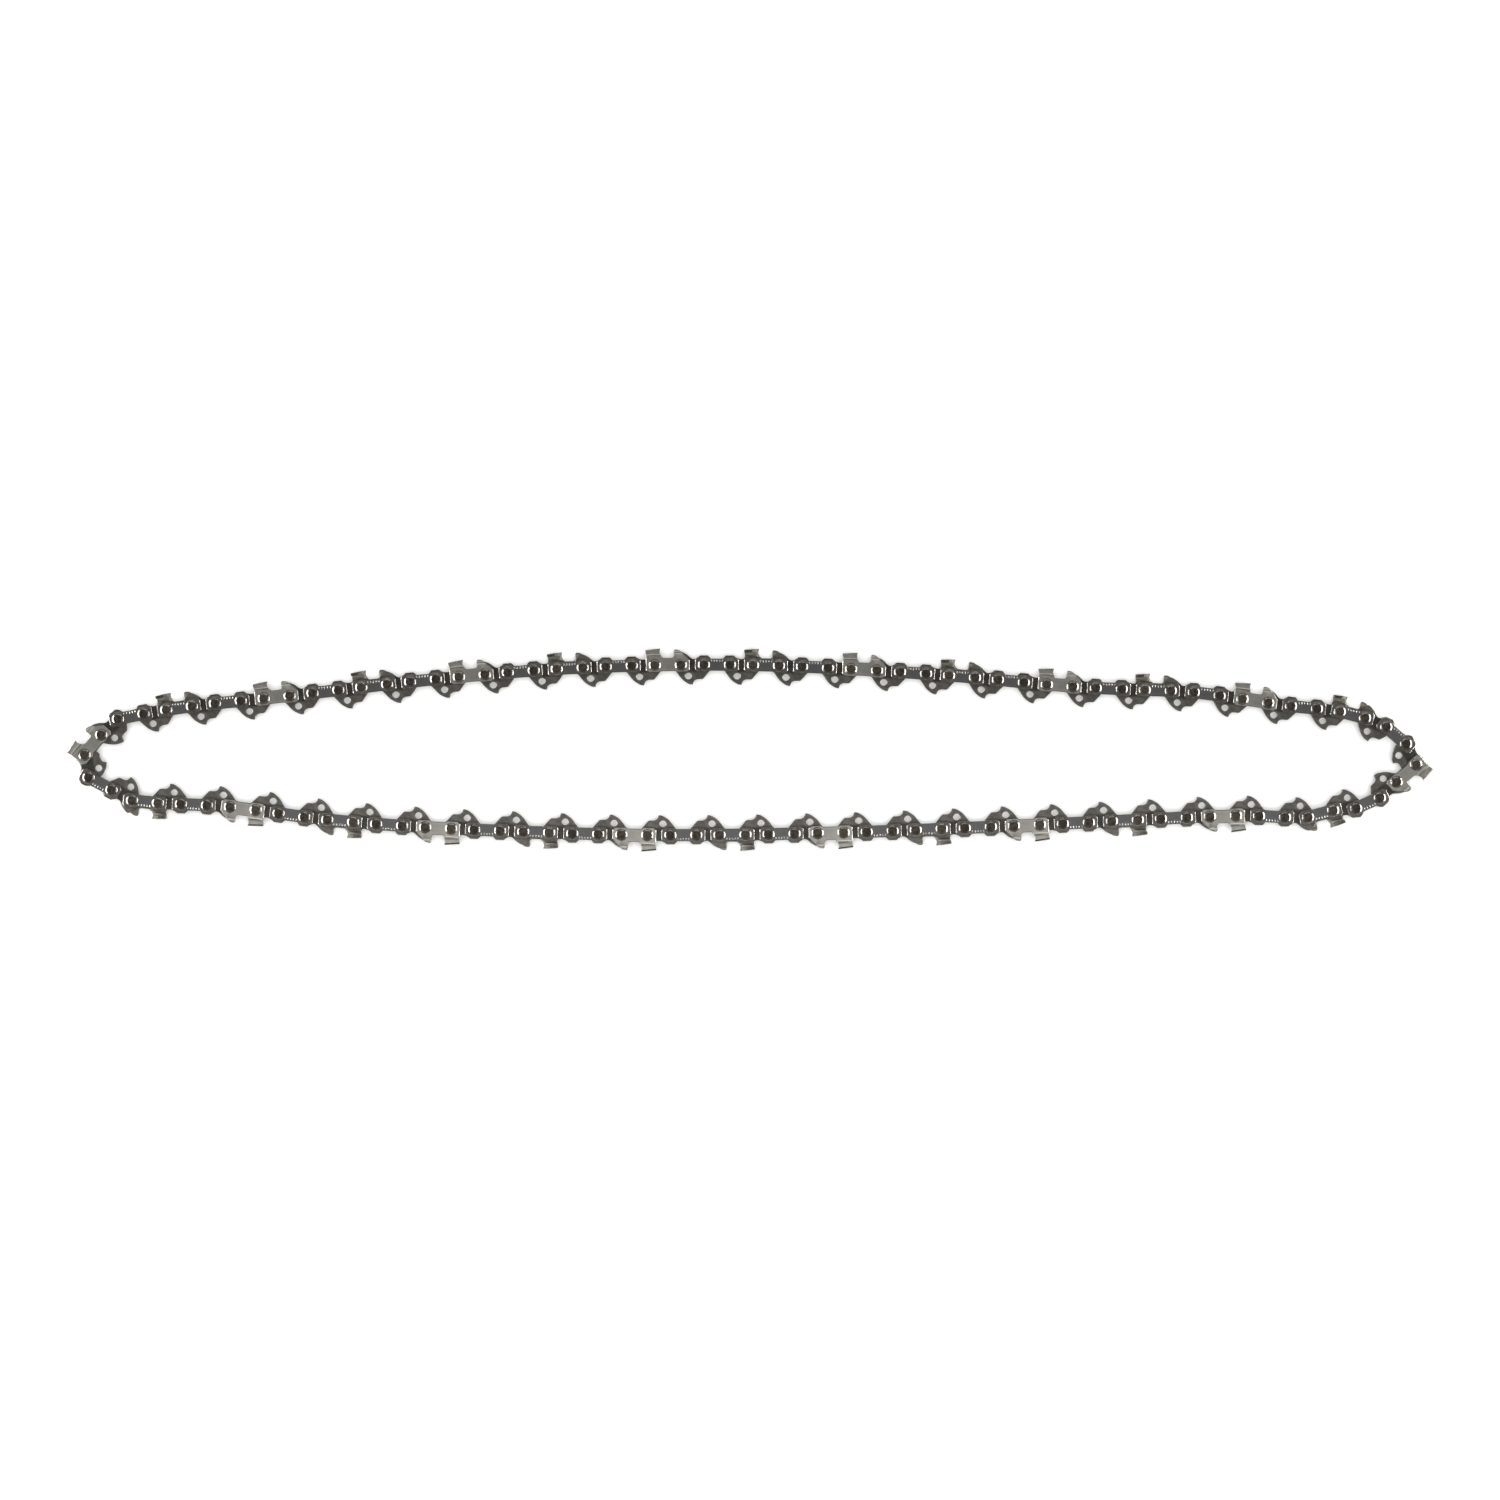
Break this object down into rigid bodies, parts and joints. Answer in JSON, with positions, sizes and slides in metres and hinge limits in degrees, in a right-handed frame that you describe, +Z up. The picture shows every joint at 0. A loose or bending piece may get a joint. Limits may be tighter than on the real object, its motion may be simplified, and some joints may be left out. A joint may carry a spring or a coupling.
{
  "type": "chainsaw chain loop",
  "caption": "Closed loop of low-profile saw chain lying on its side: alternating cutters with depth gauges, riveted tie straps and drive links with pointed tangs.",
  "frame": {"origin": "Middle of the overall box, on the surface that the loop lies on.", "axes": "+X along the long way of the loop, +Y across it as in the picture, +Z up, square to the loop's plane."},
  "size_m": [0.5298, 0.0788, 0.0068],
  "materials": {
    "cutter_link_steel": "hard-plated cutters on oil-black links",
    "strap_link_steel": "blue-grey hardened steel, lightly oiled"
  },
  "bodies": {
    "link_01": {"right_cutter_link_01": "cutter_link_steel"},
    "link_02": {"tie_strap_link_02": "strap_link_steel"},
    "link_03": {"left_cutter_link_03": "cutter_link_steel"},
    "link_04": {"tie_strap_link_04": "strap_link_steel"},
    "link_05": {"right_cutter_link_05": "cutter_link_steel"},
    "link_06": {"tie_strap_link_06": "strap_link_steel"},
    "link_07": {"left_cutter_link_07": "cutter_link_steel"},
    "link_08": {"tie_strap_link_08": "strap_link_steel"},
    "link_09": {"right_cutter_link_09": "cutter_link_steel"},
    "link_10": {"tie_strap_link_10": "strap_link_steel"},
    "link_11": {"left_cutter_link_11": "cutter_link_steel"},
    "link_12": {"tie_strap_link_12": "strap_link_steel"},
    "link_13": {"right_cutter_link_13": "cutter_link_steel"},
    "link_14": {"tie_strap_link_14": "strap_link_steel"},
    "link_15": {"left_cutter_link_15": "cutter_link_steel"},
    "link_16": {"tie_strap_link_16": "strap_link_steel"},
    "link_17": {"right_cutter_link_17": "cutter_link_steel"},
    "link_18": {"tie_strap_link_18": "strap_link_steel"},
    "link_19": {"left_cutter_link_19": "cutter_link_steel"},
    "link_20": {"tie_strap_link_20": "strap_link_steel"},
    "link_21": {"right_cutter_link_21": "cutter_link_steel"},
    "link_22": {"tie_strap_link_22": "strap_link_steel"},
    "link_23": {"left_cutter_link_23": "cutter_link_steel"},
    "link_24": {"tie_strap_link_24": "strap_link_steel"},
    "link_25": {"right_cutter_link_25": "cutter_link_steel"},
    "link_26": {"tie_strap_link_26": "strap_link_steel"},
    "link_27": {"left_cutter_link_27": "cutter_link_steel"},
    "link_28": {"tie_strap_link_28": "strap_link_steel"},
    "link_29": {"right_cutter_link_29": "cutter_link_steel"},
    "link_30": {"tie_strap_link_30": "strap_link_steel"},
    "link_31": {"left_cutter_link_31": "cutter_link_steel"},
    "link_32": {"tie_strap_link_32": "strap_link_steel"},
    "link_33": {"right_cutter_link_33": "cutter_link_steel"},
    "link_34": {"tie_strap_link_34": "strap_link_steel"},
    "link_35": {"left_cutter_link_35": "cutter_link_steel"},
    "link_36": {"tie_strap_link_36": "strap_link_steel"},
    "link_37": {"right_cutter_link_37": "cutter_link_steel"},
    "link_38": {"tie_strap_link_38": "strap_link_steel"},
    "link_39": {"left_cutter_link_39": "cutter_link_steel"},
    "link_40": {"tie_strap_link_40": "strap_link_steel"},
    "link_41": {"right_cutter_link_41": "cutter_link_steel"},
    "link_42": {"tie_strap_link_42": "strap_link_steel"},
    "link_43": {"left_cutter_link_43": "cutter_link_steel"},
    "link_44": {"tie_strap_link_44": "strap_link_steel"},
    "link_45": {"right_cutter_link_45": "cutter_link_steel"},
    "link_46": {"tie_strap_link_46": "strap_link_steel"},
    "link_47": {"left_cutter_link_47": "cutter_link_steel"},
    "link_48": {"tie_strap_link_48": "strap_link_steel"},
    "link_49": {"right_cutter_link_49": "cutter_link_steel"},
    "link_50": {"tie_strap_link_50": "strap_link_steel"},
    "link_51": {"left_cutter_link_51": "cutter_link_steel"},
    "link_52": {"tie_strap_link_52": "strap_link_steel"},
    "link_53": {"right_cutter_link_53": "cutter_link_steel"},
    "link_54": {"tie_strap_link_54": "strap_link_steel"},
    "link_55": {"left_cutter_link_55": "cutter_link_steel"},
    "link_56": {"tie_strap_link_56": "strap_link_steel"}
  },
  "joints": [
    {"name": "pivot_43_44", "type": "hinge", "parent": "link_43", "child": "link_44", "pos_m": [-0.0208, -0.03304, 0.0034], "axis": [0, 0, 1], "range_deg": [-2.68, 1.38]},
    {"name": "pivot_44_45", "type": "hinge", "parent": "link_44", "child": "link_45", "pos_m": [-0.03985, -0.033, 0.0034], "axis": [0, 0, 1], "range_deg": [-2.79, 1.44]},
    {"name": "pivot_45_46", "type": "hinge", "parent": "link_45", "child": "link_46", "pos_m": [-0.0589, -0.03267, 0.0034], "axis": [0, 0, 1], "range_deg": [-2.91, 1.5]},
    {"name": "pivot_46_47", "type": "hinge", "parent": "link_46", "child": "link_47", "pos_m": [-0.07794, -0.03208, 0.0034], "axis": [0, 0, 1], "range_deg": [-3.05, 1.57]},
    {"name": "pivot_47_48", "type": "hinge", "parent": "link_47", "child": "link_48", "pos_m": [-0.09698, -0.03134, 0.0034], "axis": [0, 0, 1], "range_deg": [-3.21, 1.65]},
    {"name": "pivot_48_49", "type": "hinge", "parent": "link_48", "child": "link_49", "pos_m": [-0.11601, -0.03051, 0.0034], "axis": [0, 0, 1], "range_deg": [-3.37, 1.74]},
    {"name": "pivot_49_50", "type": "hinge", "parent": "link_49", "child": "link_50", "pos_m": [-0.13503, -0.02943, 0.0034], "axis": [0, 0, 1], "range_deg": [-3.55, 1.82]},
    {"name": "pivot_50_51", "type": "hinge", "parent": "link_50", "child": "link_51", "pos_m": [-0.15402, -0.02801, 0.0034], "axis": [0, 0, 1], "range_deg": [-3.74, 1.92]},
    {"name": "pivot_51_52", "type": "hinge", "parent": "link_51", "child": "link_52", "pos_m": [-0.17297, -0.02601, 0.0034], "axis": [0, 0, 1], "range_deg": [-4, 2.06]},
    {"name": "pivot_52_53", "type": "hinge", "parent": "link_52", "child": "link_53", "pos_m": [-0.19182, -0.02329, 0.0034], "axis": [0, 0, 1], "range_deg": [-4.4, 2.26]},
    {"name": "pivot_53_54", "type": "hinge", "parent": "link_53", "child": "link_54", "pos_m": [-0.21077, -0.02144, 0.0034], "axis": [0, 0, 1], "range_deg": [-4.54, 2.33]},
    {"name": "pivot_54_55", "type": "hinge", "parent": "link_54", "child": "link_55", "pos_m": [-0.2298, -0.02059, 0.0034], "axis": [0, 0, 1], "range_deg": [-8.11, 15.77]},
    {"name": "pivot_55_56", "type": "hinge", "parent": "link_55", "child": "link_56", "pos_m": [-0.24782, -0.01546, 0.0034], "axis": [0, 0, 1], "range_deg": [-3.48, 10.81]},
    {"name": "pivot_56_01", "type": "hinge", "parent": "link_56", "child": "link_01", "pos_m": [-0.25826, -0.00184, 0.0034], "axis": [0, 0, 1], "range_deg": [-10.06, 19.55]},
    {"name": "pivot_01_02", "type": "hinge", "parent": "link_01", "child": "link_02", "pos_m": [-0.24528, 0.01204, 0.0034], "axis": [0, 0, 1], "range_deg": [-7.5, 14.58]},
    {"name": "pivot_02_03", "type": "hinge", "parent": "link_02", "child": "link_03", "pos_m": [-0.22656, 0.01557, 0.0034], "axis": [0, 0, 1], "range_deg": [-8.18, 15.9]},
    {"name": "pivot_03_04", "type": "hinge", "parent": "link_03", "child": "link_04", "pos_m": [-0.20767, 0.01805, 0.0034], "axis": [0, 0, 1], "range_deg": [-4.06, 2.09]},
    {"name": "pivot_04_05", "type": "hinge", "parent": "link_04", "child": "link_05", "pos_m": [-0.18872, 0.01999, 0.0034], "axis": [0, 0, 1], "range_deg": [-4.33, 2.23]},
    {"name": "pivot_05_06", "type": "hinge", "parent": "link_05", "child": "link_06", "pos_m": [-0.16979, 0.02208, 0.0034], "axis": [0, 0, 1], "range_deg": [-4.33, 2.23]},
    {"name": "pivot_06_07", "type": "hinge", "parent": "link_06", "child": "link_07", "pos_m": [-0.15087, 0.02433, 0.0034], "axis": [0, 0, 1], "range_deg": [-4.05, 2.09]},
    {"name": "pivot_07_08", "type": "hinge", "parent": "link_07", "child": "link_08", "pos_m": [-0.13194, 0.02649, 0.0034], "axis": [0, 0, 1], "range_deg": [-3.74, 1.93]},
    {"name": "pivot_08_09", "type": "hinge", "parent": "link_08", "child": "link_09", "pos_m": [-0.11299, 0.02838, 0.0034], "axis": [0, 0, 1], "range_deg": [-3.52, 1.81]},
    {"name": "pivot_09_10", "type": "hinge", "parent": "link_09", "child": "link_10", "pos_m": [-0.09401, 0.03008, 0.0034], "axis": [0, 0, 1], "range_deg": [-3.32, 1.71]},
    {"name": "pivot_10_11", "type": "hinge", "parent": "link_10", "child": "link_11", "pos_m": [-0.07501, 0.03146, 0.0034], "axis": [0, 0, 1], "range_deg": [-3.2, 1.65]},
    {"name": "pivot_11_12", "type": "hinge", "parent": "link_11", "child": "link_12", "pos_m": [-0.05598, 0.03237, 0.0034], "axis": [0, 0, 1], "range_deg": [-3.21, 1.65]},
    {"name": "pivot_12_13", "type": "hinge", "parent": "link_12", "child": "link_13", "pos_m": [-0.03694, 0.03293, 0.0034], "axis": [0, 0, 1], "range_deg": [-3.27, 1.68]},
    {"name": "pivot_13_14", "type": "hinge", "parent": "link_13", "child": "link_14", "pos_m": [-0.01789, 0.03316, 0.0034], "axis": [0, 0, 1], "range_deg": [-3.34, 1.72]},
    {"name": "pivot_42_43", "type": "hinge", "parent": "link_43", "child": "link_42", "pos_m": [-0.00175, -0.03284, 0.0034], "axis": [0, 0, -1], "range_deg": [-2.58, 1.33]},
    {"name": "pivot_41_42", "type": "hinge", "parent": "link_42", "child": "link_41", "pos_m": [0.01729, -0.03247, 0.0034], "axis": [0, 0, -1], "range_deg": [-2.5, 1.29]},
    {"name": "pivot_40_41", "type": "hinge", "parent": "link_41", "child": "link_40", "pos_m": [0.03634, -0.032, 0.0034], "axis": [0, 0, -1], "range_deg": [-2.48, 1.28]},
    {"name": "pivot_39_40", "type": "hinge", "parent": "link_40", "child": "link_39", "pos_m": [0.05538, -0.0314, 0.0034], "axis": [0, 0, -1], "range_deg": [-2.52, 1.3]},
    {"name": "pivot_38_39", "type": "hinge", "parent": "link_39", "child": "link_38", "pos_m": [0.07441, -0.03065, 0.0034], "axis": [0, 0, -1], "range_deg": [-2.6, 1.34]},
    {"name": "pivot_37_38", "type": "hinge", "parent": "link_38", "child": "link_37", "pos_m": [0.09345, -0.02983, 0.0034], "axis": [0, 0, -1], "range_deg": [-2.78, 1.43]},
    {"name": "pivot_36_37", "type": "hinge", "parent": "link_37", "child": "link_36", "pos_m": [0.11248, -0.02899, 0.0034], "axis": [0, 0, -1], "range_deg": [-3.11, 1.6]},
    {"name": "pivot_35_36", "type": "hinge", "parent": "link_36", "child": "link_35", "pos_m": [0.13151, -0.02809, 0.0034], "axis": [0, 0, -1], "range_deg": [-3.57, 1.84]},
    {"name": "pivot_34_35", "type": "hinge", "parent": "link_35", "child": "link_34", "pos_m": [0.15053, -0.0271, 0.0034], "axis": [0, 0, -1], "range_deg": [-4.16, 2.14]},
    {"name": "pivot_33_34", "type": "hinge", "parent": "link_34", "child": "link_33", "pos_m": [0.16956, -0.02618, 0.0034], "axis": [0, 0, -1], "range_deg": [-5, 2.57]},
    {"name": "pivot_32_33", "type": "hinge", "parent": "link_33", "child": "link_32", "pos_m": [0.18859, -0.02543, 0.0034], "axis": [0, 0, -1], "range_deg": [-6.2, 3.19]},
    {"name": "pivot_31_32", "type": "hinge", "parent": "link_32", "child": "link_31", "pos_m": [0.20763, -0.0261, 0.0034], "axis": [0, 0, -1], "range_deg": [-9, 4.63]},
    {"name": "pivot_30_31", "type": "hinge", "parent": "link_31", "child": "link_30", "pos_m": [0.22633, -0.02345, 0.0034], "axis": [0, 0, -1], "range_deg": [-5.88, 11.43]},
    {"name": "pivot_29_30", "type": "hinge", "parent": "link_30", "child": "link_29", "pos_m": [0.24445, -0.01848, 0.0034], "axis": [0, 0, -1], "range_deg": [-7.05, 13.7]},
    {"name": "pivot_28_29", "type": "hinge", "parent": "link_29", "child": "link_28", "pos_m": [0.25852, -0.00564, 0.0034], "axis": [0, 0, -1], "range_deg": [-9.2, 17.88]},
    {"name": "pivot_27_28", "type": "hinge", "parent": "link_28", "child": "link_27", "pos_m": [0.24693, 0.00897, 0.0034], "axis": [0, 0, -1], "range_deg": [-9.78, 19.01]},
    {"name": "pivot_26_27", "type": "hinge", "parent": "link_27", "child": "link_26", "pos_m": [0.22889, 0.01492, 0.0034], "axis": [0, 0, -1], "range_deg": [-9.39, 18.26]},
    {"name": "pivot_25_26", "type": "hinge", "parent": "link_26", "child": "link_25", "pos_m": [0.20996, 0.01708, 0.0034], "axis": [0, 0, -1], "range_deg": [-1.9, 0.98]},
    {"name": "pivot_24_25", "type": "hinge", "parent": "link_25", "child": "link_24", "pos_m": [0.19111, 0.01983, 0.0034], "axis": [0, 0, -1], "range_deg": [-2.25, 1.16]},
    {"name": "pivot_23_24", "type": "hinge", "parent": "link_24", "child": "link_23", "pos_m": [0.17224, 0.02243, 0.0034], "axis": [0, 0, -1], "range_deg": [-2.62, 1.35]},
    {"name": "pivot_22_23", "type": "hinge", "parent": "link_23", "child": "link_22", "pos_m": [0.15321, 0.02335, 0.0034], "axis": [0, 0, -1], "range_deg": [-2.7, 1.39]},
    {"name": "pivot_21_22", "type": "hinge", "parent": "link_22", "child": "link_21", "pos_m": [0.13418, 0.02407, 0.0034], "axis": [0, 0, -1], "range_deg": [-2.82, 1.45]},
    {"name": "pivot_20_21", "type": "hinge", "parent": "link_21", "child": "link_20", "pos_m": [0.11517, 0.02541, 0.0034], "axis": [0, 0, -1], "range_deg": [-3.04, 1.56]},
    {"name": "pivot_19_20", "type": "hinge", "parent": "link_20", "child": "link_19", "pos_m": [0.09621, 0.02726, 0.0034], "axis": [0, 0, -1], "range_deg": [-3.27, 1.68]},
    {"name": "pivot_18_19", "type": "hinge", "parent": "link_19", "child": "link_18", "pos_m": [0.07724, 0.02894, 0.0034], "axis": [0, 0, -1], "range_deg": [-3.43, 1.76]},
    {"name": "pivot_17_18", "type": "hinge", "parent": "link_18", "child": "link_17", "pos_m": [0.05824, 0.03027, 0.0034], "axis": [0, 0, -1], "range_deg": [-3.53, 1.82]},
    {"name": "pivot_16_17", "type": "hinge", "parent": "link_17", "child": "link_16", "pos_m": [0.03922, 0.03143, 0.0034], "axis": [0, 0, -1], "range_deg": [-3.56, 1.83]},
    {"name": "pivot_15_16", "type": "hinge", "parent": "link_16", "child": "link_15", "pos_m": [0.02019, 0.03237, 0.0034], "axis": [0, 0, -1], "range_deg": [-3.51, 1.81]}
  ],
  "couplings": [
    {"joint": "pivot_43_44", "follows": "pivot_55_56", "ratio": -0.17748},
    {"joint": "pivot_44_45", "follows": "pivot_55_56", "ratio": -0.18496},
    {"joint": "pivot_45_46", "follows": "pivot_55_56", "ratio": -0.19293},
    {"joint": "pivot_46_47", "follows": "pivot_55_56", "ratio": -0.20205},
    {"joint": "pivot_47_48", "follows": "pivot_55_56", "ratio": -0.21247},
    {"joint": "pivot_48_49", "follows": "pivot_55_56", "ratio": -0.22341},
    {"joint": "pivot_49_50", "follows": "pivot_55_56", "ratio": -0.23484},
    {"joint": "pivot_50_51", "follows": "pivot_55_56", "ratio": -0.24753},
    {"joint": "pivot_51_52", "follows": "pivot_55_56", "ratio": -0.26489},
    {"joint": "pivot_52_53", "follows": "pivot_55_56", "ratio": -0.29124},
    {"joint": "pivot_53_54", "follows": "pivot_55_56", "ratio": -0.30058},
    {"joint": "pivot_54_55", "follows": "pivot_55_56", "ratio": 1.0446},
    {"joint": "pivot_56_01", "follows": "pivot_55_56", "ratio": 1.2949},
    {"joint": "pivot_01_02", "follows": "pivot_55_56", "ratio": 0.96557},
    {"joint": "pivot_02_03", "follows": "pivot_55_56", "ratio": 1.0529},
    {"joint": "pivot_03_04", "follows": "pivot_55_56", "ratio": -0.2687},
    {"joint": "pivot_04_05", "follows": "pivot_55_56", "ratio": -0.28713},
    {"joint": "pivot_05_06", "follows": "pivot_55_56", "ratio": -0.28665},
    {"joint": "pivot_06_07", "follows": "pivot_55_56", "ratio": -0.26849},
    {"joint": "pivot_07_08", "follows": "pivot_55_56", "ratio": -0.24797},
    {"joint": "pivot_08_09", "follows": "pivot_55_56", "ratio": -0.23324},
    {"joint": "pivot_09_10", "follows": "pivot_55_56", "ratio": -0.21969},
    {"joint": "pivot_10_11", "follows": "pivot_55_56", "ratio": -0.21181},
    {"joint": "pivot_11_12", "follows": "pivot_55_56", "ratio": -0.21272},
    {"joint": "pivot_12_13", "follows": "pivot_55_56", "ratio": -0.21628},
    {"joint": "pivot_13_14", "follows": "pivot_55_56", "ratio": -0.2211},
    {"joint": "pivot_42_43", "follows": "pivot_55_56", "ratio": -0.17075},
    {"joint": "pivot_41_42", "follows": "pivot_55_56", "ratio": -0.16584},
    {"joint": "pivot_40_41", "follows": "pivot_55_56", "ratio": -0.16451},
    {"joint": "pivot_39_40", "follows": "pivot_55_56", "ratio": -0.16685},
    {"joint": "pivot_38_39", "follows": "pivot_55_56", "ratio": -0.17254},
    {"joint": "pivot_37_38", "follows": "pivot_55_56", "ratio": -0.18438},
    {"joint": "pivot_36_37", "follows": "pivot_55_56", "ratio": -0.20628},
    {"joint": "pivot_35_36", "follows": "pivot_55_56", "ratio": -0.23657},
    {"joint": "pivot_34_35", "follows": "pivot_55_56", "ratio": -0.27525},
    {"joint": "pivot_33_34", "follows": "pivot_55_56", "ratio": -0.33089},
    {"joint": "pivot_32_33", "follows": "pivot_55_56", "ratio": -0.41071},
    {"joint": "pivot_31_32", "follows": "pivot_55_56", "ratio": -0.59605},
    {"joint": "pivot_30_31", "follows": "pivot_55_56", "ratio": 0.75693},
    {"joint": "pivot_29_30", "follows": "pivot_55_56", "ratio": 0.90774},
    {"joint": "pivot_28_29", "follows": "pivot_55_56", "ratio": 1.1842},
    {"joint": "pivot_27_28", "follows": "pivot_55_56", "ratio": 1.259},
    {"joint": "pivot_26_27", "follows": "pivot_55_56", "ratio": 1.2094},
    {"joint": "pivot_25_26", "follows": "pivot_55_56", "ratio": -0.1257},
    {"joint": "pivot_24_25", "follows": "pivot_55_56", "ratio": -0.14921},
    {"joint": "pivot_23_24", "follows": "pivot_55_56", "ratio": -0.17368},
    {"joint": "pivot_22_23", "follows": "pivot_55_56", "ratio": -0.1791},
    {"joint": "pivot_21_22", "follows": "pivot_55_56", "ratio": -0.18688},
    {"joint": "pivot_20_21", "follows": "pivot_55_56", "ratio": -0.20136},
    {"joint": "pivot_19_20", "follows": "pivot_55_56", "ratio": -0.21637},
    {"joint": "pivot_18_19", "follows": "pivot_55_56", "ratio": -0.22713},
    {"joint": "pivot_17_18", "follows": "pivot_55_56", "ratio": -0.23376},
    {"joint": "pivot_16_17", "follows": "pivot_55_56", "ratio": -0.23556},
    {"joint": "pivot_15_16", "follows": "pivot_55_56", "ratio": -0.23274}
  ]
}
